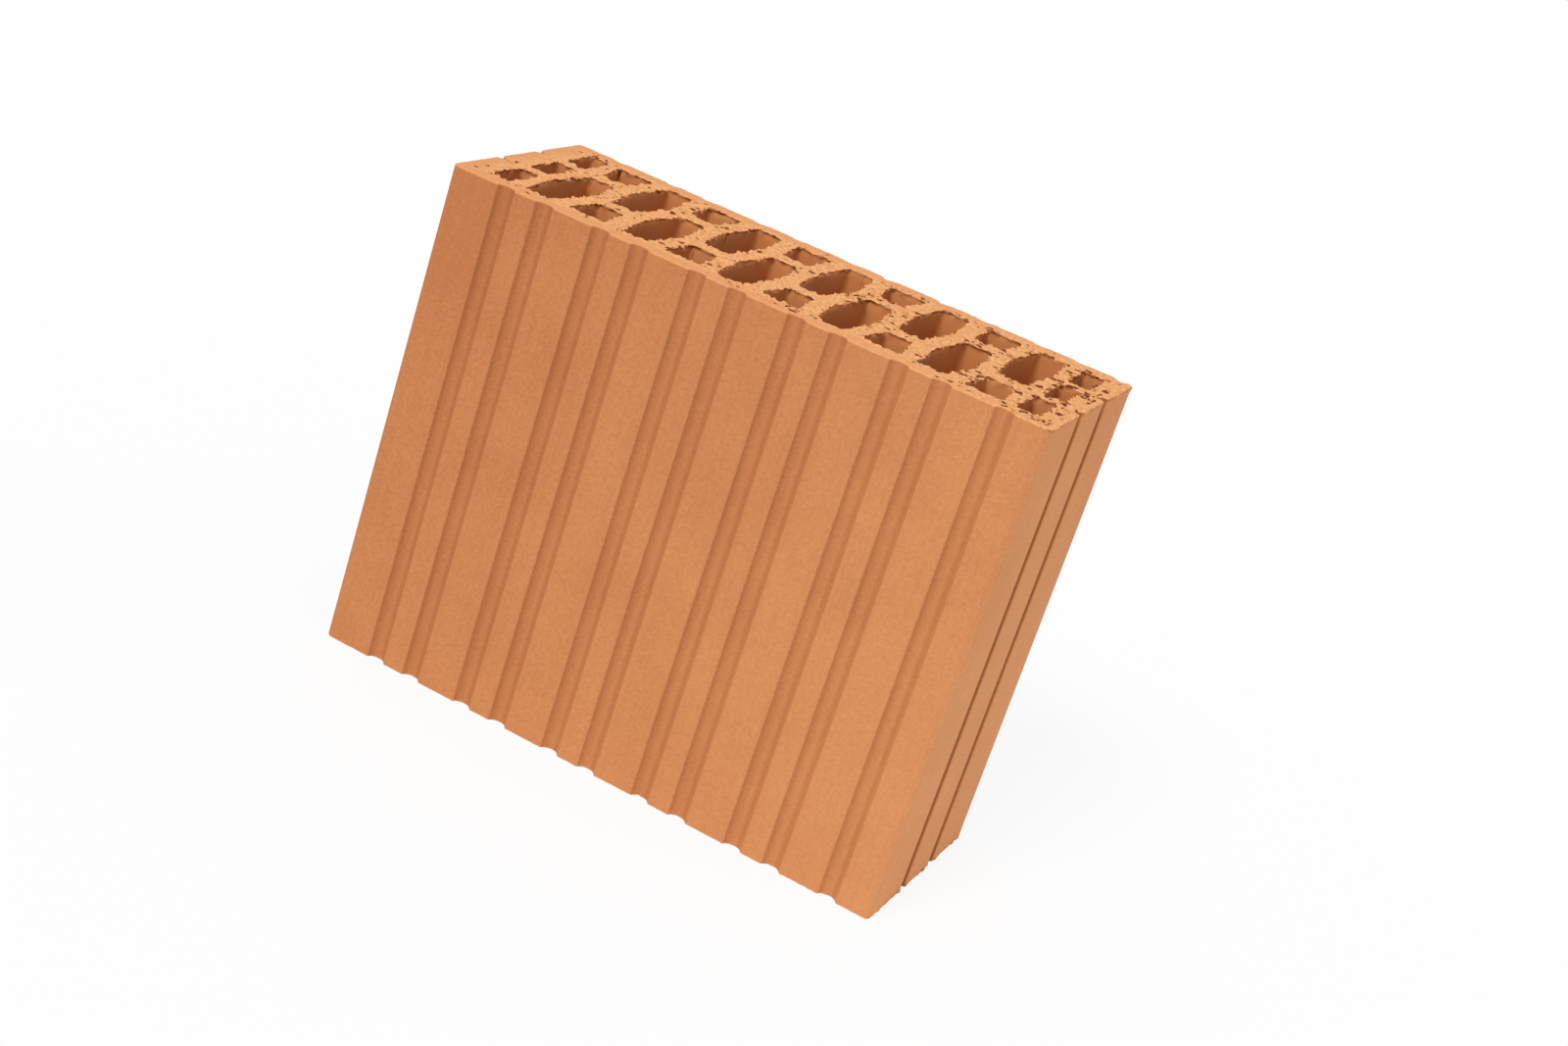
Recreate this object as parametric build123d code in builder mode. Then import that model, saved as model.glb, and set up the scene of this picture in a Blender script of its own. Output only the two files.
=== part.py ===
# Perforated clay block: one piece of clay, extruded through a die, cut to height by a wire and fired
import os

from build123d import *

os.makedirs("parts", exist_ok=True)

# Size of the fired block, in millimetres: X along the wall, Y through the wall, Z along the holes
length = 295
width = 115
height = 238
corner_radius = 3

# Clay left between the holes and the outside, and between one hole and the next
face_shell = 11.25
left_end_wall = 13
right_end_wall = 10
end_web = 4.5
column_web = 8.4
cross_web = 10

# Columns of holes: each has a long hexagon at one face and a short trapezoid at the other
columns = 10
trapezoid_length = 24
waist_flare = 4.2
shell_flare = 2.8
hole_radius = 2.5

# Small cells behind each end wall
end_cells = 3
end_cell_width = 11
end_cell_web = 7.5

# Round-floored keying grooves on both long faces, a pair beside each hexagon, shallower on the +Y face
groove_width = 9
front_groove_depth = 3.2
back_groove_depth = 1.6
groove_spacing = 20
groove_lip_radius = 0.8

# Keying notches of V section on both ends
notch_width = 6.5
notch_depth = 4.5
notch_spacing = 34.5
notch_lip_radius = 1.5

# Column spacing: the columns share the length that the end walls and end cells leave
cell_field = length - left_end_wall - right_end_wall
cell_field_x = (left_end_wall - right_end_wall) / 2
column_field = cell_field - 2 * (end_cell_width + end_web)
column_pitch = (column_field + column_web - waist_flare) / columns

# Hole widths: the webs zigzag, so a hole is wide where its neighbours are narrow
mean_width = column_pitch - column_web
waist_width = mean_width + waist_flare
neck_width = mean_width - waist_flare
hexagon_mouth_width = mean_width - shell_flare
trapezoid_mouth_width = mean_width + shell_flare

# Places through the wall: the hexagon starts at the -Y shell, the trapezoid at the +Y shell
shell_y = width / 2 - face_shell
trapezoid_end_y = shell_y - trapezoid_length
hexagon_end_y = trapezoid_end_y - cross_web
waist_y = (hexagon_end_y - shell_y) / 2
end_cell_length = (2 * shell_y - (end_cells - 1) * end_cell_web) / end_cells


def column_x(column):
    """Place of a column's axis along the block"""
    return cell_field_x + (column - (columns - 1) / 2) * column_pitch


def width_at(y, start, finish):
    """Width of a hole at a place on the straight web between two (place, width) points"""
    along = (y - start[0]) / (finish[0] - start[0])
    return start[1] + along * (finish[1] - start[1])


def groove_radius(depth):
    """Radius of a groove's floor, an arc through its two lips and its deepest line"""
    return (groove_width**2 / 4 + depth**2) / (2 * depth)


def hole(*stations):
    """Section of a hole, from its (place, width) at each corner, with rounded corners"""
    right = [(hole_width / 2, y) for y, hole_width in stations]
    left = [(-x, y) for x, y in reversed(right)]
    with BuildSketch() as section:
        Polygon(*right, *left)
        fillet(section.vertices(), hole_radius)
    return section.sketch


# Holes of one column, with its hexagon towards -Y
hexagon_waist = (waist_y, waist_width)
far_neck = (-waist_y, neck_width)
trapezoid_mouth = (shell_y, trapezoid_mouth_width)
with BuildSketch() as column_holes:
    add(
        hole(
            (-shell_y, hexagon_mouth_width),
            hexagon_waist,
            (hexagon_end_y, width_at(hexagon_end_y, hexagon_waist, far_neck)),
        )
    )
    add(hole((trapezoid_end_y, width_at(trapezoid_end_y, far_neck, trapezoid_mouth)), trapezoid_mouth))

# Grooves of the -Y face, on its flat stretch between the rounded corners; the +Y face has them half a turn on
groove_limit = length / 2 - corner_radius - groove_width / 2
groove_lines = [
    column_x(column) + side * groove_spacing / 2
    for column in range(0, columns + 1, 2)
    for side in (-1, 1)
]
front_grooves = [x for x in groove_lines if abs(x) < groove_limit]
back_grooves = [2 * cell_field_x - x for x in front_grooves]

with BuildPart() as clay_brick:
    with BuildSketch() as section:
        Rectangle(length, width)
        for side, lines, depth in ((-1, front_grooves, front_groove_depth), (1, back_grooves, back_groove_depth)):
            radius = groove_radius(depth)
            centre_y = side * (width / 2 + radius - depth)
            with Locations(*[(x, centre_y) for x in lines]):
                Circle(radius, mode=Mode.SUBTRACT)
            fillet(section.vertices(Select.LAST), groove_lip_radius)
        with GridLocations(length, notch_spacing, 2, 2):
            Polygon(
                (-notch_depth, 0),
                (0, -notch_width / 2),
                (notch_depth, 0),
                (0, notch_width / 2),
                mode=Mode.SUBTRACT,
            )
        notch_corners = section.vertices(Select.LAST).group_by(Axis.X)
        fillet(notch_corners[0] + notch_corners[-1], notch_lip_radius)
        fillet(section.vertices().sort_by_distance((0, 0))[-4:], corner_radius)
        for column in range(columns):
            turn = 180 * (column % 2)
            with Locations(Location((column_x(column), 0, 0), (0, 0, turn))):
                add(column_holes.sketch, mode=Mode.SUBTRACT)
        end_cell_x_pitch = cell_field - end_cell_width
        end_cell_y_pitch = end_cell_length + end_cell_web
        with Locations((cell_field_x, 0)):
            with GridLocations(end_cell_x_pitch, end_cell_y_pitch, 2, end_cells):
                RectangleRounded(end_cell_width, end_cell_length, hole_radius, mode=Mode.SUBTRACT)
    extrude(amount=height)

clay_brick.part.label = "clay_brick"
export_step(clay_brick.part, "parts/clay_brick.step")
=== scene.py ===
# Perforated clay brick: torn wire-cut beds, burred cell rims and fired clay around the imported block
import math

import bpy
import numpy as np
from mathutils import Matrix, Vector, bvhtree, geometry, kdtree, noise


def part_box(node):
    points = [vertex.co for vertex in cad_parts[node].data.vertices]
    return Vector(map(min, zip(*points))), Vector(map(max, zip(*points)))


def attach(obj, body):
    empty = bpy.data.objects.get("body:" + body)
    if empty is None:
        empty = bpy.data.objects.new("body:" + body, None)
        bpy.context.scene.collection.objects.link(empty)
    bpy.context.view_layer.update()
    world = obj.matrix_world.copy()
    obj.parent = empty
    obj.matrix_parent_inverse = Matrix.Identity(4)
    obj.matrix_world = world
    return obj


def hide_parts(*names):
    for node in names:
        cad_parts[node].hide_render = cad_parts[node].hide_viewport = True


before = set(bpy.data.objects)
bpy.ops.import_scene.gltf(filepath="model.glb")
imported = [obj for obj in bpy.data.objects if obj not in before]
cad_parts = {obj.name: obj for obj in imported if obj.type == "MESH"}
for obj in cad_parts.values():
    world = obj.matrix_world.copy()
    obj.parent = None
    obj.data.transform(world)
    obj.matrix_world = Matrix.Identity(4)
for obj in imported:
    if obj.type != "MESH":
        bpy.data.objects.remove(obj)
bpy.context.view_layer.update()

bl_info = {
    "name": "Perforated Clay Brick",
    "version": (1, 0, 0),
    "blender": (4, 5, 0),
    "location": "3D View > Sidebar > Clay Brick",
    "description": "Models the torn beds and fired clay of a perforated brick, on a white stage",
    "category": "Add Mesh",
}

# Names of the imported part, and the box of its block
NODE = "clay_brick"
BODY = "root"
LOW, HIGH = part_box(NODE)
HALF_LENGTH = (HIGH.x - LOW.x) / 2
HALF_WIDTH = (HIGH.y - LOW.y) / 2
HEIGHT = HIGH.z - LOW.z
MM = 0.001

# Rows of facets on the rims, as shares of the rim's depth
RIM_ROW_SHARES = (0.08, 0.2, 0.36, 0.6, 1.0)

# Shares of a facet: the gap that the bed's fill keeps from the outline, and what an edge may be too long
FILL_MARGIN = 0.6
CUT_SLACK = 0.01

# Angle between facets up to which they are shaded as one surface
SMOOTH_ANGLE = math.radians(50)

# Gaps that count as none: between facets of the CAD mesh, and between the two halves of the block
CAD_GAP = 0.001 * MM
HALVES_GAP = 0.01 * MM

# Test for clay: a ray down from above the bed, at an edge a step to one side of it
RAY_START = 1 * MM
RAY_LENGTH = 2 * MM
SIDE_STEP = 0.3 * MM

# Least share of a normal along Z that faces up, and along X that faces the wire's exit
FACING_UP = 0.5
FACING_EXIT = 0.3

# Fill of an outline by the Delaunay function: triangles inside the outline, to this error in millimetres
TRIANGLES_INSIDE = 1
FILL_ERROR = 1e-5

# Bands in from the outer faces, and the corner between two faces, where a rounding is not a groove
GROOVE_BAND = (0.1 * MM, 0.9 * MM)
PIT_BAND = (2 * MM, 8 * MM)
LIP_BAND = (3 * MM, 6 * MM)
SMEAR_BAND = (5 * MM, 11 * MM)
CELL_BAND = (7 * MM, 9 * MM)
CORNER = 7 * MM

# Wire's exit at the +X end: where along X that end starts, and how much further out the pits crowd there
END_BAND = (HALF_LENGTH - 6 * MM, HALF_LENGTH - 4 * MM)
EXIT_PIT_REACH = 5 * MM

# Bands down from a bed: near it, as counted in facets, the edge of the cut, and the start and end of the
# dark band under a torn rim, partly torn clay and partly painted shadow
NEAR_BED_FACETS = (0.8, 2.4)
CUT_BAND = (0.2 * MM, 1.2 * MM)
TORN_AND_SHADOW_START_BAND = (0.1 * MM, 0.4 * MM)
TORN_AND_SHADOW_END_BAND = (0.8 * MM, 1.6 * MM)

# Slopes, as the size of a normal along Z, which is 0 on a wall and 1 on a bed
CUT_SLOPES = (0.1, 0.5)
BED_SLOPES = (0.2, 0.8)
WALL_SLOPES = (0.5, 0.9)
RIM_SLOPES = (0.9, 1.0)

# Slopes along X: walls that face the wire's exit, the +X end, and the far wall of a groove, facing back
LEAVING_SLOPES = (0.1, 0.6)
END_SLOPES = (0.3, 0.6)
FAR_WALL_START_SLOPES = (0.0, 0.35)
FAR_WALL_END_SLOPES = (0.5, 0.8)

# Noise levels over which a patch and a tear rise
PATCH_LEVELS = (-0.35, 0.25)
TEAR_LEVELS = (-0.2, 0.3)

# Shares of the tears, pits and burrs in each place, and of the smear that the wire leaves on the shells
END_TEARS = 0.5
PITS_EVERYWHERE = 0.22
PITS_IN_PATCHES = 0.45
PITS_AT_EXIT = 0.65
BURRS_EVERYWHERE = 0.2
BURRS_IN_PATCHES = 0.8
SMEAR = 0.8
SMEAR_LOST_AT_EXIT = 0.8
GRAIN_LOST_TO_SMEAR = 0.7

# Shares of the painted shade in the end notches, in the grooves and on the grooves' far walls
NOTCH_SHADE = 0.8
GROOVE_SHADE = 0.08
FAR_WALL_SHADE = 0.26

# Nicks in the back edge of the top bed: place along X, half width and depth, then how all of them fade
NICKS = ((23 * MM, 2 * MM, 3 * MM), (51 * MM, 1.5 * MM, 2 * MM), (142 * MM, 3.5 * MM, 4 * MM))
NICK_REACH = 10 * MM
NICK_BAND = (1 * MM, 6 * MM)
NICK_FLOOR = 0.3

# Attributes that tell the clay where the wire cut, smeared, pitted or tore it, and where it lines a hollow,
# with painted shade in the grooves and notches and painted shadow under the torn rims
CUT = "wire_cut"
SMEARED = "smeared_bed"
PITTED = "pitted_bed"
CELL = "cell_wall"
GROOVE = "painted_groove_shade"
TORN_AND_SHADOW = "torn_rim_and_painted_shadow"

# Patterns of the clay, with the streaks squeezed along Z, so that they run along the cells
STREAK_WIDTH = 2 * MM
STREAK_SQUEEZE = 0.012
CLOUD_SIZE = 45 * MM
SPECK_SIZE = 1.5 * MM
CRUMB_SIZE = 1.8 * MM

# Pits of the clay: radius and soft edge as shares of the spacing, and how far and how finely they are bent
PIT_SPACING = 4.2 * MM
PIT_RADIUS = 0.65
PIT_EDGE = 0.05
PIT_BEND = 3 * MM
PIT_BEND_SIZE = 2 * MM

# Depths below a bed: where the cracks fade and end, and where a hollow starts and ends turning dark, partly
# the darker clay of a torn pit and partly painted shade
CRACK_FADE = 3 * MM
CRACK_END = 8 * MM
PAINTED_SHADE_START = 0.7 * MM
PAINTED_SHADE_END = 2 * MM

# Skin tone: the direction in which painted shade turns the skin darker and redder, standing in for the
# light's falloff, and how much each pattern varies the tone
PAINTED_SHADE_TOWARDS = (-0.8, 0, 0.6)
CLOUD_SWING = 0.3
STREAK_SWING = 0.15
SPECK_SWING = 0.5

# Bump of the clay: height of the crumbs, and the shares of it in the specks, the pits and the smeared crumbs
BUMP_HEIGHT = 0.7 * MM
SPECK_BUMP = 0.08
PIT_BUMP = 0.6
SMEARED_BUMP = 0.3

# Sockets of a colour mix, by number, because the node's other kinds of socket have the same names
FACTOR, COLOUR_A, COLOUR_B, MIXED = 0, 6, 7, 2

# Stage: edge of the floor in metres, and width of the camera's sensor in millimetres
FLOOR_SIZE = 80
SENSOR_WIDTH = 36


def to_linear(hex_colour):
    """Linear red, green and blue of an sRGB hex colour"""
    shares = [int(hex_colour[k : k + 2], 16) / 255 for k in (1, 3, 5)]
    return tuple(c / 12.92 if c <= 0.04045 else ((c + 0.055) / 1.055) ** 2.4 for c in shares)


def length_setting(name, description, default):
    """Property for a size in metres"""
    return bpy.props.FloatProperty(
        name=name,
        description=description,
        default=default,
        min=0,
        precision=5,
        subtype="DISTANCE",
        unit="LENGTH",
    )


def colour_setting(name, description, hex_colour):
    """Property for a colour"""
    return bpy.props.FloatVectorProperty(
        name=name,
        description=description,
        default=to_linear(hex_colour),
        min=0,
        max=1,
        size=3,
        subtype="COLOR",
    )


def angle_setting(name, description, degrees):
    """Property for an angle"""
    return bpy.props.FloatProperty(
        name=name, description=description, default=math.radians(degrees), subtype="ANGLE"
    )


def strength_setting(name, description, default):
    """Property for the strength of a light"""
    return bpy.props.FloatProperty(name=name, description=description, default=default, min=0)


class ClayBlockSettings(bpy.types.PropertyGroup):
    """Sizes of the relief that the wire leaves on the two beds"""

    facet: length_setting("Facet", "Edge of a facet of the beds and rims", 1.15 * MM)
    burr_facet: length_setting("Burr facet", "Edge of a facet where burrs stand into the cells", 0.65 * MM)
    rim_depth: length_setting("Rim depth", "How far below a bed the fine facets reach", 6 * MM)
    lip_rounds: bpy.props.IntProperty(
        name="Lip rounds", description="Smoothing rounds on the lip of the outer faces", default=6, min=0
    )
    grain_size: length_setting("Grain size", "Spacing of the crumbs on a bed", 2.6 * MM)
    grain_height: length_setting("Grain height", "Height of the crumbs on a bed", 0.5 * MM)
    pit_size: length_setting("Pit size", "Spacing of the pits torn out of a bed", 4.0 * MM)
    pit_depth: length_setting("Pit depth", "Depth of the pits torn out of a bed", 2.5 * MM)
    patch_size: length_setting("Patch size", "Spacing of the patches with pits and burrs", 22 * MM)
    ragged_size: length_setting("Ragged size", "Spacing of the crumbs on the rims of the cells", 1.9 * MM)
    ragged_height: length_setting("Ragged height", "Height of the crumbs on the rims of the cells", 1.4 * MM)
    burr_pitch: length_setting("Burr pitch", "Spacing of the teeth dragged into the cells", 2.2 * MM)
    burr_reach: length_setting("Burr reach", "How far the teeth reach into the cells", 1.6 * MM)


class ClayColours(bpy.types.PropertyGroup):
    """Colours of the fired clay"""

    skin: colour_setting("Skin", "Extruded skin of the outer faces", "#D18E5B")
    # Skin shade: darker clouds of the skin, and also the painted shade towards the top of the -X end
    skin_shade: colour_setting("Skin shade", "Darker clouds of the skin", "#B87245")
    # Groove tint: painted shade multiplied into the grooves and the end notches
    groove: colour_setting("Groove tint", "What a notch keeps of the skin, and a groove in part", "#BEA484")
    cell: colour_setting("Cell", "Extruded skin inside the cells", "#DC965E")
    cell_shade: colour_setting("Cell shade", "Darker clouds inside the cells", "#C87E46")
    cut: colour_setting("Cut", "Crumbs of the wire-cut beds", "#F8B478")
    cut_shade: colour_setting("Cut shade", "Hollows between the crumbs of the beds", "#D8965E")
    smear: colour_setting("Smear", "Smooth clay that the wire smeared over the shells", "#E09A64")
    # Pit: dark red-brown of the torn clay, also used as painted shade in the pits and hollows and as painted
    # shadow under the torn rims
    pit: colour_setting("Pit", "Floor of the torn pits", "#783409")


class StageSettings(bpy.types.PropertyGroup):
    """Camera, lamps and floor"""

    aim: bpy.props.FloatVectorProperty(
        name="Aim",
        description="Point that the camera looks at",
        default=(0.02815, 0.01185, 0.12452),
        subtype="TRANSLATION",
    )
    azimuth: angle_setting("Azimuth", "Camera's turn round the brick", 18.97)
    elevation: angle_setting("Elevation", "Camera's angle above the bed", 20.43)
    roll: angle_setting("Roll", "Camera's turn about its own axis", 18.68)
    distance: length_setting("Distance", "From the camera to the aim", 1.1284)
    lens: bpy.props.FloatProperty(
        name="Lens",
        description="Focal length, in millimetres on a 36 mm sensor",
        default=56.42,
        min=1,
        subtype="DISTANCE_CAMERA",
    )
    white: colour_setting("White", "Surroundings, and the floor's glow", "#FFFFFF")
    ambient: strength_setting("Ambient", "Strength of the even white surroundings", 0.55)
    key: strength_setting("Key", "Strength of the key lamp", 1.87)
    key_azimuth: angle_setting("Key azimuth", "Key lamp's turn round the brick", -10)
    key_elevation: angle_setting("Key elevation", "Key lamp's angle above the floor", 48)
    key_softness: angle_setting("Key softness", "Width of the key lamp, as seen from the brick", 20)
    side: strength_setting("Side", "Strength of the low side lamp", 0.9)
    side_azimuth: angle_setting("Side azimuth", "Side lamp's turn round the brick", 114)
    side_elevation: angle_setting("Side elevation", "Side lamp's angle above the floor", 5)
    side_softness: angle_setting("Side softness", "Width of the side lamp, as seen from the brick", 10)
    card: colour_setting("Card", "White card of the floor", "#F6F6F6")
    floor_glow: bpy.props.FloatProperty(
        name="Floor glow",
        description="White that the floor shows under any light",
        default=0.88,
        min=0,
        max=1,
        subtype="FACTOR",
    )


def add_node(tree, kind, inputs=None, **settings):
    """Add a node to a tree, with its settings, and with its inputs set or linked"""
    node = tree.nodes.new(kind)
    for name, value in settings.items():
        setattr(node, name, value)
    for socket, value in (inputs or {}).items():
        if isinstance(value, bpy.types.NodeSocket):
            tree.links.new(value, node.inputs[socket])
        else:
            node.inputs[socket].default_value = value
    return node


def clay_patterns(tree):
    """Sockets for a place and its depth below a bed, the clay's patterns and the block's attributes"""
    place = add_node(tree, "ShaderNodeTexCoord").outputs["Object"]
    height = add_node(tree, "ShaderNodeSeparateXYZ", {"Vector": place}).outputs["Z"]
    below_top = add_node(tree, "ShaderNodeMath", {0: HEIGHT, 1: height}, operation="SUBTRACT").outputs[0]
    depth = add_node(tree, "ShaderNodeMath", {0: height, 1: below_top}, operation="MINIMUM").outputs[0]
    squeezed = add_node(tree, "ShaderNodeMapping", {"Vector": place, "Scale": (1, 1, STREAK_SQUEEZE)})
    at = {"place": place, "depth": depth}
    for name, vector, size, detail, roughness in (
        ("streaks", squeezed.outputs[0], STREAK_WIDTH, 2, 0.5),
        ("clouds", place, CLOUD_SIZE, 3, 0.5),
        ("specks", place, SPECK_SIZE, 3, 0.5),
        ("crumbs", place, CRUMB_SIZE, 3, 0.6),
    ):
        at[name] = add_node(
            tree,
            "ShaderNodeTexNoise",
            {"Vector": vector, "Scale": 1 / size, "Detail": detail, "Roughness": roughness},
        ).outputs[0]
    for name in (CUT, SMEARED, PITTED, CELL, GROOVE, TORN_AND_SHADOW):
        at[name] = add_node(tree, "ShaderNodeAttribute", attribute_name=name).outputs["Fac"]
    return at


def skin_colour(tree, at, colours):
    """Extruded skin, with clouds, streaks and specks, and painted shade that turns it darker and redder
    towards the top of the -X end
    """
    # Painted shade: the skin turns darker and redder towards the top of the -X end, standing in for the
    # light's falloff
    fired = add_node(
        tree, "ShaderNodeVectorMath", {0: at["place"], 1: PAINTED_SHADE_TOWARDS}, operation="DOT_PRODUCT"
    ).outputs["Value"]
    shade = add_node(
        tree, "ShaderNodeMapRange", {"Value": fired, "From Min": -HALF_LENGTH, "From Max": 2 * HALF_LENGTH}
    ).outputs[0]
    for name, swing in (("clouds", CLOUD_SWING), ("streaks", STREAK_SWING), ("specks", SPECK_SWING)):
        part = add_node(
            tree,
            "ShaderNodeMapRange",
            {
                "Value": at[name],
                "From Min": 0.25,
                "From Max": 0.75,
                "To Min": -swing / 2,
                "To Max": swing / 2,
            },
        ).outputs[0]
        shade = add_node(tree, "ShaderNodeMath", {0: shade, 1: part}, operation="ADD").outputs[0]
    skin = add_node(
        tree,
        "ShaderNodeMix",
        {FACTOR: shade, COLOUR_A: (*colours.skin, 1), COLOUR_B: (*colours.skin_shade, 1)},
        data_type="RGBA",
    ).outputs[MIXED]
    # Painted shade, multiplied into the grooves and end notches by the groove tint
    return add_node(
        tree,
        "ShaderNodeMix",
        {FACTOR: at[GROOVE], COLOUR_A: skin, COLOUR_B: (*colours.groove, 1)},
        data_type="RGBA",
        blend_type="MULTIPLY",
    ).outputs[MIXED]


def cell_colour(tree, at, colours):
    """Walls of the cells, with dark cracks that the wire dragged down from the rims"""
    wall = add_node(
        tree,
        "ShaderNodeMix",
        {FACTOR: at["clouds"], COLOUR_A: (*colours.cell, 1), COLOUR_B: (*colours.cell_shade, 1)},
        data_type="RGBA",
    ).outputs[MIXED]
    crack = add_node(
        tree, "ShaderNodeMapRange", {"Value": at["streaks"], "From Min": 0.70, "From Max": 0.74}
    ).outputs[0]
    near_rim = add_node(
        tree, "ShaderNodeMapRange", {"Value": at["depth"], "From Min": CRACK_END, "From Max": CRACK_FADE}
    ).outputs[0]
    crack = add_node(tree, "ShaderNodeMath", {0: crack, 1: near_rim}, operation="MULTIPLY").outputs[0]
    return add_node(
        tree,
        "ShaderNodeMix",
        {FACTOR: crack, COLOUR_A: wall, COLOUR_B: (*colours.pit, 1)},
        data_type="RGBA",
    ).outputs[MIXED]


def torn_pits(tree, at):
    """Share of the pits torn out of a bed, with bent outlines, larger where the bed is more pitted"""
    bend = add_node(
        tree, "ShaderNodeTexNoise", {"Vector": at["place"], "Scale": 1 / PIT_BEND_SIZE, "Detail": 2}
    ).outputs["Color"]
    bent = add_node(
        tree,
        "ShaderNodeVectorMath",
        {0: bend, 1: (PIT_BEND, PIT_BEND, PIT_BEND), 2: at["place"]},
        operation="MULTIPLY_ADD",
    ).outputs[0]
    pits = add_node(tree, "ShaderNodeTexVoronoi", {"Vector": bent, "Scale": 1 / PIT_SPACING}).outputs
    size = add_node(
        tree, "ShaderNodeMath", {0: at[PITTED], 1: pits["Color"]}, operation="MULTIPLY"
    ).outputs[0]
    past_edge = add_node(
        tree, "ShaderNodeMath", {0: size, 1: -PIT_RADIUS, 2: pits["Distance"]}, operation="MULTIPLY_ADD"
    ).outputs[0]
    return add_node(
        tree, "ShaderNodeMapRange", {"Value": past_edge, "From Min": 0, "From Max": -PIT_EDGE}
    ).outputs[0]


def bed_colour(tree, at, colours):
    """Crumbs of the beds, smeared over the shells, with dark pits and hollows, their dark partly the torn
    clay's own and partly painted shade
    """
    hollow = add_node(
        tree, "ShaderNodeMapRange", {"Value": at["crumbs"], "From Min": 0.40, "From Max": 0.64}
    ).outputs[0]
    # Painted shade over the torn clay's darker colour: the bed turns to the pit colour in the pits and where
    # it lies more than 0.7 mm below the bed's level
    painted_depth_shade = add_node(
        tree, "ShaderNodeMapRange", {"Value": at["depth"], "From Min": PAINTED_SHADE_START, "From Max": PAINTED_SHADE_END}
    ).outputs[0]
    dark = add_node(tree, "ShaderNodeMath", {0: at["pits"], 1: painted_depth_shade}, operation="MAXIMUM").outputs[0]
    bed = (*colours.cut, 1)
    for share, layer in ((hollow, colours.cut_shade), (at[SMEARED], colours.smear), (dark, colours.pit)):
        bed = add_node(
            tree, "ShaderNodeMix", {FACTOR: share, COLOUR_A: bed, COLOUR_B: (*layer, 1)}, data_type="RGBA"
        ).outputs[MIXED]
    return bed


def clay_bump(tree, at):
    """Relief of the grit in the skin, and of the crumbs and pits of the beds"""
    grainy = add_node(
        tree, "ShaderNodeMapRange", {"Value": at[SMEARED], "To Min": 1, "To Max": SMEARED_BUMP}
    ).outputs[0]
    grainy = add_node(tree, "ShaderNodeMath", {0: grainy, 1: at[CUT]}, operation="MULTIPLY").outputs[0]
    crumbs = add_node(tree, "ShaderNodeMath", {0: at["crumbs"], 1: grainy}, operation="MULTIPLY").outputs[0]
    pits = add_node(tree, "ShaderNodeMath", {0: at["pits"], 1: at[CUT]}, operation="MULTIPLY").outputs[0]
    relief = crumbs
    for pattern, share in ((at["specks"], SPECK_BUMP), (pits, -PIT_BUMP)):
        relief = add_node(
            tree, "ShaderNodeMath", {0: pattern, 1: share, 2: relief}, operation="MULTIPLY_ADD"
        ).outputs[0]
    return add_node(
        tree, "ShaderNodeBump", {"Strength": 1, "Distance": BUMP_HEIGHT, "Height": relief}
    ).outputs[0]


def fired_clay(colours):
    """Fired red clay, extruded through a die and cut by a wire.

    The die leaves a matt skin with cloudy colour and faint streaks along the cells; painted shade darkens
    its grooves and notches and the top of its -X end. The wire tears the beds into pale crumbs with
    red-brown pits, whose dark is partly painted shade, and leaves a dark band under the torn rims, partly
    painted shadow of the burrs. The grain is drawn about twice as coarse as clay's own, to show.
    """
    material = bpy.data.materials.new("fired_red_clay")
    material.use_nodes = True
    tree = material.node_tree
    tree.nodes.clear()
    at = clay_patterns(tree)
    at["pits"] = torn_pits(tree, at)
    colour = skin_colour(tree, at, colours)
    for share, layer in (
        (at[CELL], cell_colour(tree, at, colours)),
        (at[CUT], bed_colour(tree, at, colours)),
        # Dark band under the torn rims: partly torn clay and partly painted shadow of the burrs that
        # overhang the cells
        (at[TORN_AND_SHADOW], (*colours.pit, 1)),
    ):
        colour = add_node(
            tree, "ShaderNodeMix", {FACTOR: share, COLOUR_A: colour, COLOUR_B: layer}, data_type="RGBA"
        ).outputs[MIXED]
    shader = add_node(
        tree,
        "ShaderNodeBsdfPrincipled",
        {
            "Base Color": colour,
            "Roughness": 0.8,
            "IOR": 1.5,
            "Specular IOR Level": 0.2,
            "Normal": clay_bump(tree, at),
        },
    )
    add_node(tree, "ShaderNodeOutputMaterial", {"Surface": shader.outputs[0]})
    return material


def only_active(piece):
    """Leave one object selected and active"""
    bpy.ops.object.select_all(action="DESELECT")
    piece.select_set(True)
    bpy.context.view_layer.objects.active = piece


def points_of(piece):
    """Places of a piece's vertices"""
    places = np.zeros(len(piece.data.vertices) * 3)
    piece.data.vertices.foreach_get("co", places)
    return places.reshape(-1, 3)


def normals_of(piece):
    """Normals of a piece's vertices"""
    normals = np.zeros(len(piece.data.vertices) * 3, np.float32)
    piece.data.vertex_normals.foreach_get("vector", normals)
    return normals.reshape(-1, 3)


def edge_ends(piece):
    """Places of the two ends of a piece's edges"""
    pairs = np.zeros(len(piece.data.edges) * 2, np.int32)
    piece.data.edges.foreach_get("vertices", pairs)
    return points_of(piece)[pairs.reshape(-1, 2)]


def apply_modifier(piece, kind, **settings):
    """Add a modifier with its settings and apply it"""
    bpy.ops.object.modifier_add(type=kind)
    modifier = piece.modifiers[-1]
    for name, value in settings.items():
        setattr(modifier, name, value)
    bpy.ops.object.modifier_apply(modifier=modifier.name)


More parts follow.
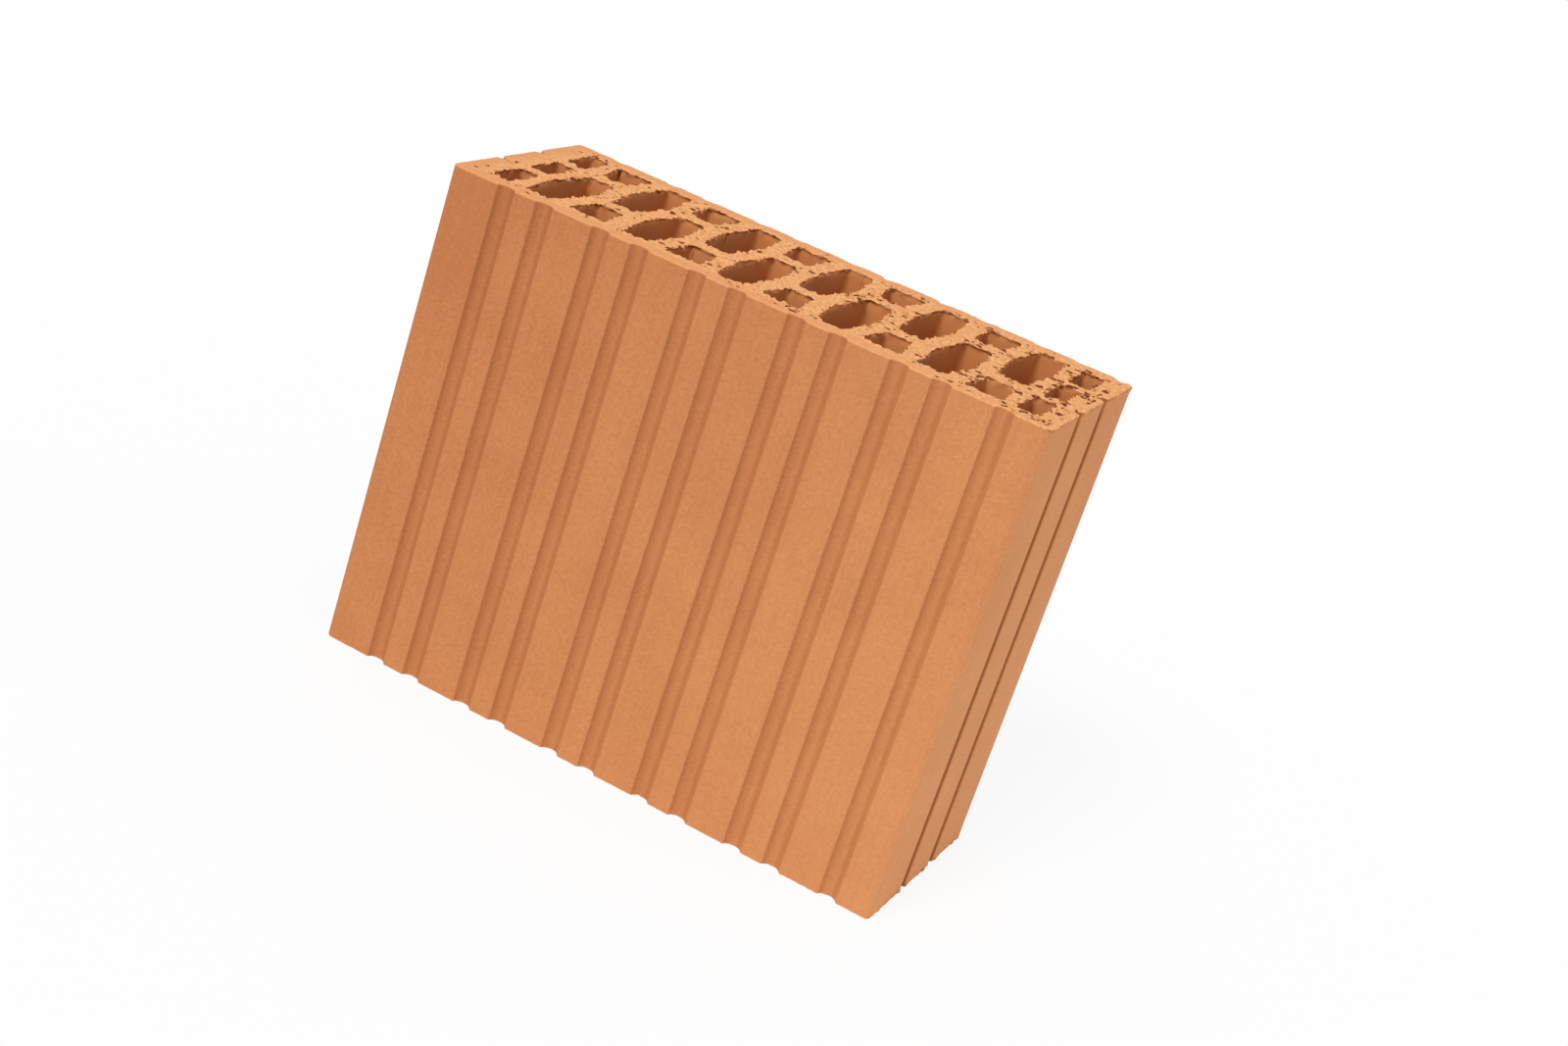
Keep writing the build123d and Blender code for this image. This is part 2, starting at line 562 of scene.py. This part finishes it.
def bed_outline():
    """Edges of the top bed and its cells, from a merged copy of the CAD mesh"""
    outline = bpy.data.objects.new("fired_clay_block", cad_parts[NODE].data.copy())
    bpy.context.scene.collection.objects.link(outline)
    only_active(outline)
    bpy.ops.object.mode_set(mode="EDIT")
    bpy.ops.mesh.select_mode(type="FACE")
    bpy.ops.mesh.select_all(action="SELECT")
    bpy.ops.mesh.remove_doubles(threshold=CAD_GAP)
    bpy.ops.mesh.select_all(action="DESELECT")
    bpy.ops.object.mode_set(mode="OBJECT")
    for face in outline.data.polygons:
        face.select = face.normal.z > FACING_UP
    bpy.ops.object.mode_set(mode="EDIT")
    bpy.ops.mesh.region_to_loop()
    bpy.ops.mesh.select_all(action="INVERT")
    bpy.ops.mesh.delete(type="EDGE")
    bpy.ops.mesh.select_all(action="SELECT")
    bpy.ops.mesh.delete_loose(use_verts=True, use_edges=False, use_faces=False)
    bpy.ops.object.mode_set(mode="OBJECT")
    return outline


def divide_outline(outline, clay_at, sizes):
    """Divide the long edges evenly, more finely where the wire leaves clay for a cell"""
    while True:
        ends = edge_ends(outline)
        run = ends[:, 1] - ends[:, 0]
        span = np.linalg.norm(run, axis=1)
        across = np.stack([run[:, 1], -run[:, 0]], 1) / span[:, None]
        beside = ends.mean(1)[:, :2] - SIDE_STEP * across
        side = [1 if clay_at(*place) else -1 for place in beside]
        leaving = across[:, 0] * np.array(side) > FACING_EXIT
        facet = np.where(leaving, sizes.burr_facet, sizes.facet)
        cuts = np.ceil(span / facet - CUT_SLACK).astype(int) - 1
        most = int(cuts.max())
        if most < 1:
            return
        outline.data.edges.foreach_set("select", cuts == most)
        bpy.ops.object.mode_set(mode="EDIT")
        bpy.ops.mesh.subdivide(number_cuts=most)
        bpy.ops.object.mode_set(mode="OBJECT")


def fill_bed(outline, clay_at, sizes):
    """Fill the bed with facets of one size, which meet the outline"""
    rim = points_of(outline)[:, :2]
    pairs = [tuple(edge.vertices) for edge in outline.data.edges]
    near_rim = kdtree.KDTree(len(rim))
    for number, place in enumerate(rim):
        near_rim.insert((*place, 0), number)
    near_rim.balance()

    def off_rim(place):
        """Whether a place is far enough from the outline for a corner of its own"""
        return near_rim.find((*place, 0))[2] > FILL_MARGIN * sizes.facet

    row_step = sizes.facet * math.sqrt(3) / 2
    field = [
        (x + sizes.facet / 2 * (row % 2), y)
        for row, y in enumerate(np.arange(LOW.y, HIGH.y, row_step))
        for x in np.arange(LOW.x, HIGH.x, sizes.facet)
    ]
    field = [place for place in field if off_rim(place) and clay_at(*place)]
    places = [Vector(place) / MM for place in (*rim, *field)]
    corners, _, facets, *_ = geometry.delaunay_2d_cdt(places, pairs, [], TRIANGLES_INSIDE, FILL_ERROR, False)
    corners = np.array(corners) * MM
    facets = [facet for facet in facets if clay_at(*corners[facet].mean(0))]
    bed = bpy.data.meshes.new(outline.name)
    bed.from_pydata([(*place, HIGH.z) for place in corners], [], facets)
    outline.data = bed


def fine_block(sizes):
    """Model the block with fine facets on its beds and rims, at the CAD block's own size"""
    tree = bvhtree.BVHTree.FromObject(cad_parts[NODE], bpy.context.evaluated_depsgraph_get())

    def clay_at(x, y):
        """Whether the bed has clay at a place"""
        return tree.ray_cast((x, y, HIGH.z + RAY_START), (0, 0, -1), RAY_LENGTH)[0] is not None

    block = bed_outline()
    divide_outline(block, clay_at, sizes)
    fill_bed(block, clay_at, sizes)
    bpy.ops.object.mode_set(mode="EDIT")
    bpy.ops.mesh.select_mode(type="EDGE")
    bpy.ops.mesh.select_all(action="DESELECT")
    bpy.ops.mesh.select_non_manifold(
        use_wire=False, use_multi_face=False, use_non_contiguous=False, use_verts=False
    )
    rows = [share * sizes.rim_depth for share in RIM_ROW_SHARES] + [HEIGHT / 2]
    for above, below in zip([0, *rows], rows):
        bpy.ops.mesh.extrude_region_move(TRANSFORM_OT_translate={"value": (0, 0, above - below)})
    bpy.ops.mesh.select_all(action="SELECT")
    bpy.ops.transform.translate(value=(0, 0, -HEIGHT / 2))
    bpy.ops.object.mode_set(mode="OBJECT")
    apply_modifier(
        block, "MIRROR", use_axis=(False, False, True), use_mirror_merge=True, merge_threshold=HALVES_GAP
    )
    bpy.ops.object.mode_set(mode="EDIT")
    bpy.ops.mesh.select_all(action="SELECT")
    bpy.ops.transform.translate(value=(0, 0, HEIGHT / 2))
    bpy.ops.mesh.normals_make_consistent(inside=False)
    bpy.ops.object.mode_set(mode="OBJECT")
    return block


def ramp(values, start, finish):
    """Rise from 0 at start to 1 at finish"""
    return np.clip((values - start) / (finish - start), 0, 1)


def fall(values, start, finish):
    """Fall from 1 at start to 0 at finish"""
    return 1 - ramp(values, start, finish)


def patches(places, size, low, high):
    """Smooth noise of a real size, which rises from 0 to 1 between two of its levels"""
    levels = np.array([noise.noise(Vector(place) / size) for place in places])
    return ramp(levels, low, high)


class WireSurvey:
    """How the wire meets each vertex of the block, on its way towards +X"""

    def __init__(self, block, sizes):
        places = points_of(block)
        normals = normals_of(block)

        # Distances in from the outer faces and down from the nearer bed, and slopes
        self.x, self.y, self.z = places.T
        self.from_end = HALF_LENGTH - np.abs(self.x)
        self.from_face = HALF_WIDTH - np.abs(self.y)
        self.inside = np.minimum(self.from_end, self.from_face)
        self.depth = np.minimum(self.z - LOW.z, HIGH.z - self.z)
        self.facing_exit = normals[:, 0]
        self.facing_bed = np.abs(normals[:, 2])

        # Shares of each kind of surface
        near_start, near_end = (count * sizes.facet for count in NEAR_BED_FACETS)
        self.near_bed = fall(self.depth, near_start, near_end)
        self.on_bed = self.near_bed * ramp(self.facing_bed, *BED_SLOPES)
        self.in_cell = ramp(self.inside, *CELL_BAND)
        self.wall = fall(self.facing_bed, *WALL_SLOPES)

        # Shares of what the wire does there
        self.patch = patches(places, sizes.patch_size, *PATCH_LEVELS)
        self.tears = patches(places, sizes.pit_size, *TEAR_LEVELS)
        at_end = ramp(self.x, *END_BAND) * ramp(self.facing_exit, *END_SLOPES)
        self.tearing = np.maximum(self.in_cell, END_TEARS * at_end)
        self.leaving = ramp(self.facing_exit, *LEAVING_SLOPES) * self.tearing
        to_exit = ramp(self.x, -HALF_LENGTH, HALF_LENGTH)
        self.smeared = SMEAR * fall(self.inside, *SMEAR_BAND) * (1 - SMEAR_LOST_AT_EXIT * to_exit**3)
        crowding = PITS_EVERYWHERE + PITS_IN_PATCHES * self.patch + PITS_AT_EXIT * to_exit**4
        pit_start, pit_end = PIT_BAND
        pit_end = pit_end - EXIT_PIT_REACH * to_exit
        self.pitted = np.clip(crowding, 0, 1) * ramp(self.inside, pit_start, pit_end)


def mark_clay(block, wire):
    """Give the block the attributes that its clay reads"""
    cut = np.maximum(wire.near_bed * ramp(wire.facing_bed, *CUT_SLOPES), fall(wire.depth, *CUT_BAND))
    between_corners = np.maximum(wire.from_end, wire.from_face) > CORNER
    # Painted shade: the grooves and end notches are darkened, the grooves' far walls most, where shade falls
    # in them
    hollow = ramp(wire.inside, *GROOVE_BAND) * (1 - wire.in_cell) * wire.wall * between_corners
    facing_entry = -wire.facing_exit
    far_wall = ramp(facing_entry, *FAR_WALL_START_SLOPES) * fall(facing_entry, *FAR_WALL_END_SLOPES)
    groove_shade = GROOVE_SHADE + FAR_WALL_SHADE * far_wall
    # Painted shadow: a dark band just below the torn rims, where the burrs overhang, over partly torn clay
    shadow_under_rim = ramp(wire.depth, *TORN_AND_SHADOW_START_BAND) * fall(wire.depth, *TORN_AND_SHADOW_END_BAND)
    marks = {
        CUT: cut,
        CELL: wire.in_cell * wire.wall,
        GROOVE: hollow * np.where(wire.from_end < wire.from_face, NOTCH_SHADE, groove_shade),
        TORN_AND_SHADOW: shadow_under_rim * wire.tearing * wire.wall * wire.tears,
        SMEARED: wire.smeared,
        PITTED: wire.pitted,
    }
    for name, values in marks.items():
        attribute = block.data.attributes.new(name, "FLOAT", "POINT")
        attribute.data.foreach_set("value", np.asarray(values, np.float32))


def weigh(piece, name, weights):
    """Make a vertex group from one weight for each vertex"""
    group = piece.vertex_groups.new(name=name)
    levels = np.round(np.clip(weights, 0, 1), 2)
    for level in np.unique(levels[levels > 0]):
        group.add(np.nonzero(levels == level)[0].tolist(), float(level), "REPLACE")
    return group.name


def cloud_texture(name, size, low, high):
    """Cloud texture of a real size, with its contrast spread between two levels"""
    texture = bpy.data.textures.new(name, "CLOUDS")
    texture.noise_scale = size
    texture.noise_depth = 2
    texture.use_color_ramp = True
    first, last = texture.color_ramp.elements
    first.position, first.color = low, (0, 0, 0, 1)
    last.position, last.color = high, (1, 1, 1, 1)
    return texture


def nick_edge(block, wire):
    """Break the nicks out of the back edge of the top bed"""
    at_edge = ramp(wire.y, HALF_WIDTH - NICK_REACH, HALF_WIDTH) * fall(HIGH.z - wire.z, *NICK_BAND)
    for number, (nick_x, half_width, depth) in enumerate(NICKS):
        beside = np.abs(wire.x - nick_x)
        nick = weigh(block, f"nick_{number}", at_edge * fall(beside, NICK_FLOOR * half_width, half_width))
        apply_modifier(block, "DISPLACE", vertex_group=nick, direction="Y", strength=-depth, mid_level=0)


def tear_beds(block, wire, sizes):
    """Soften the lip of the outer faces, then tear the beds and rims, dragging towards +X"""
    lip = weigh(block, "lip", fall(wire.inside, *LIP_BAND) * wire.near_bed)
    apply_modifier(block, "SMOOTH", factor=0.5, iterations=sizes.lip_rounds, vertex_group=lip)
    burrs = wire.leaving * wire.near_bed * (BURRS_EVERYWHERE + BURRS_IN_PATCHES * wire.patch)
    ragged = wire.near_bed * wire.in_cell * fall(wire.facing_bed, *RIM_SLOPES)
    crumbs = wire.on_bed * (1 - GRAIN_LOST_TO_SMEAR * wire.smeared)
    pits = wire.on_bed * wire.pitted
    for name, weights, size, contrast, direction, strength, level in (
        ("burrs", burrs, sizes.burr_pitch, (0.42, 0.62), "X", sizes.burr_reach, 0.15),
        ("ragged", ragged, sizes.ragged_size, (0.3, 0.7), "NORMAL", sizes.ragged_height, 0.6),
        ("crumbs", crumbs, sizes.grain_size, (0.2, 0.8), "NORMAL", sizes.grain_height, 0.6),
        ("pits", pits, sizes.pit_size, (0.60, 0.72), "NORMAL", -sizes.pit_depth, 0.0),
    ):
        apply_modifier(
            block,
            "DISPLACE",
            texture=cloud_texture(name, size, *contrast),
            vertex_group=weigh(block, name, weights),
            direction=direction,
            strength=strength,
            mid_level=level,
        )


class CLAYBRICK_OT_block(bpy.types.Operator):
    """Model the fired block with its torn beds and its clay"""

    bl_idname = "claybrick.block"
    bl_label = "Fired block"

    def execute(self, context):
        scene = context.scene
        block = fine_block(scene.clay_block)
        wire = WireSurvey(block, scene.clay_block)
        mark_clay(block, wire)
        nick_edge(block, wire)
        tear_beds(block, wire, scene.clay_block)
        block.data.materials.append(fired_clay(scene.clay_colours))
        bpy.ops.object.shade_smooth_by_angle(angle=SMOOTH_ANGLE)
        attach(block, BODY)
        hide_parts(NODE)
        return {"FINISHED"}


def seen_white(tree):
    """Whether a ray is one that shows the plain white of the surroundings"""
    path = add_node(tree, "ShaderNodeLightPath").outputs
    seen = path["Is Camera Ray"]
    for name in ("Is Glossy Ray", "Is Transmission Ray"):
        seen = add_node(tree, "ShaderNodeMath", {0: seen, 1: path[name]}, operation="MAXIMUM").outputs[0]
    return seen


def turn_from(azimuth, elevation):
    """Turn of a lamp or camera that looks at the brick from a direction round it and above the floor"""
    return Matrix.Rotation(azimuth, 4, "Z") @ Matrix.Rotation(math.pi / 2 - elevation, 4, "X")


class CLAYBRICK_OT_stage(bpy.types.Operator):
    """Make the white floor, the lamps and the camera"""

    bl_idname = "claybrick.stage"
    bl_label = "White stage"

    def execute(self, context):
        scene = context.scene
        stage = scene.clay_stage
        scene.view_settings.view_transform = "Standard"
        self.make_world(scene, stage)
        self.make_floor(stage)
        key_turn = turn_from(stage.key_azimuth, stage.key_elevation)
        side_turn = turn_from(stage.side_azimuth, stage.side_elevation)
        self.make_lamp(scene, "key", stage.key, key_turn, stage.key_softness)
        self.make_lamp(scene, "side", stage.side, side_turn, stage.side_softness)
        self.make_camera(scene, stage)
        return {"FINISHED"}

    def make_world(self, scene, stage):
        """Even white light, seen as plain white"""
        world = bpy.data.worlds.new("white_surroundings")
        world.use_nodes = True
        tree = world.node_tree
        tree.nodes.clear()
        strength = add_node(
            tree, "ShaderNodeMapRange", {"Value": seen_white(tree), "To Min": stage.ambient, "To Max": 1}
        ).outputs[0]
        light = add_node(tree, "ShaderNodeBackground", {"Color": (*stage.white, 1), "Strength": strength})
        add_node(tree, "ShaderNodeOutputWorld", {"Surface": light.outputs[0]})
        scene.world = world

    def make_floor(self, stage):
        """Floor of matt white card, which glows to the camera and shows only the brick's shadow"""
        bpy.ops.object.select_all(action="DESELECT")
        bpy.ops.mesh.primitive_plane_add(size=FLOOR_SIZE, location=(0, 0, LOW.z))
        floor = bpy.context.object
        floor.name = "white_floor"
        material = bpy.data.materials.new("white_card")
        material.use_nodes = True
        tree = material.node_tree
        tree.nodes.clear()
        card = add_node(tree, "ShaderNodeBsdfDiffuse", {"Color": (*stage.card, 1)}).outputs[0]
        glow = add_node(tree, "ShaderNodeEmission", {"Color": (*stage.white, 1), "Strength": 1}).outputs[0]
        share = add_node(
            tree, "ShaderNodeMath", {0: seen_white(tree), 1: stage.floor_glow}, operation="MULTIPLY"
        ).outputs[0]
        both = add_node(tree, "ShaderNodeMixShader", {0: share, 1: card, 2: glow}).outputs[0]
        add_node(tree, "ShaderNodeOutputMaterial", {"Surface": both})
        floor.data.materials.append(material)

    def make_lamp(self, scene, name, strength, turn, softness):
        """Large soft lamp, far away"""
        lamp = bpy.data.lights.new(name, "SUN")
        lamp.energy = strength
        lamp.angle = softness
        holder = bpy.data.objects.new(name, lamp)
        holder.matrix_world = turn
        scene.collection.objects.link(holder)

    def make_camera(self, scene, stage):
        """Camera at the photograph's viewing angle"""
        lens = bpy.data.cameras.new("camera")
        lens.lens = stage.lens
        lens.sensor_width = SENSOR_WIDTH
        camera = bpy.data.objects.new("camera", lens)
        turn = turn_from(stage.azimuth, stage.elevation) @ Matrix.Rotation(stage.roll, 4, "Z")
        back = turn.to_3x3() @ Vector((0, 0, 1))
        place = Vector(stage.aim) + back * stage.distance
        camera.matrix_world = Matrix.Translation(place) @ turn
        scene.collection.objects.link(camera)
        scene.camera = camera


class CLAYBRICK_PT_panel(bpy.types.Panel):
    """Buttons and settings of the clay brick"""

    bl_idname = "CLAYBRICK_PT_panel"
    bl_label = "Clay Brick"
    bl_space_type = "VIEW_3D"
    bl_region_type = "UI"
    bl_category = "Clay Brick"

    def draw(self, context):
        scene = context.scene
        for operator, groups in (
            (CLAYBRICK_OT_block, (scene.clay_block, scene.clay_colours)),
            (CLAYBRICK_OT_stage, (scene.clay_stage,)),
        ):
            box = self.layout.box()
            box.operator(operator.bl_idname)
            for group in groups:
                for name in group.bl_rna.properties.keys():
                    if name not in ("rna_type", "name"):
                        box.prop(group, name)


CLASSES = (
    ClayBlockSettings,
    ClayColours,
    StageSettings,
    CLAYBRICK_OT_block,
    CLAYBRICK_OT_stage,
    CLAYBRICK_PT_panel,
)


def register():
    """Add the classes and their settings"""
    for entry in CLASSES:
        bpy.utils.register_class(entry)
    bpy.types.Scene.clay_block = bpy.props.PointerProperty(type=ClayBlockSettings)
    bpy.types.Scene.clay_colours = bpy.props.PointerProperty(type=ClayColours)
    bpy.types.Scene.clay_stage = bpy.props.PointerProperty(type=StageSettings)


def unregister():
    """Take the classes and their settings away"""
    del bpy.types.Scene.clay_stage
    del bpy.types.Scene.clay_colours
    del bpy.types.Scene.clay_block
    for entry in reversed(CLASSES):
        bpy.utils.unregister_class(entry)


def main():
    """Build the brick and its stage"""
    register()
    bpy.ops.claybrick.block()
    bpy.ops.claybrick.stage()


if __name__ == "__main__":
    main()
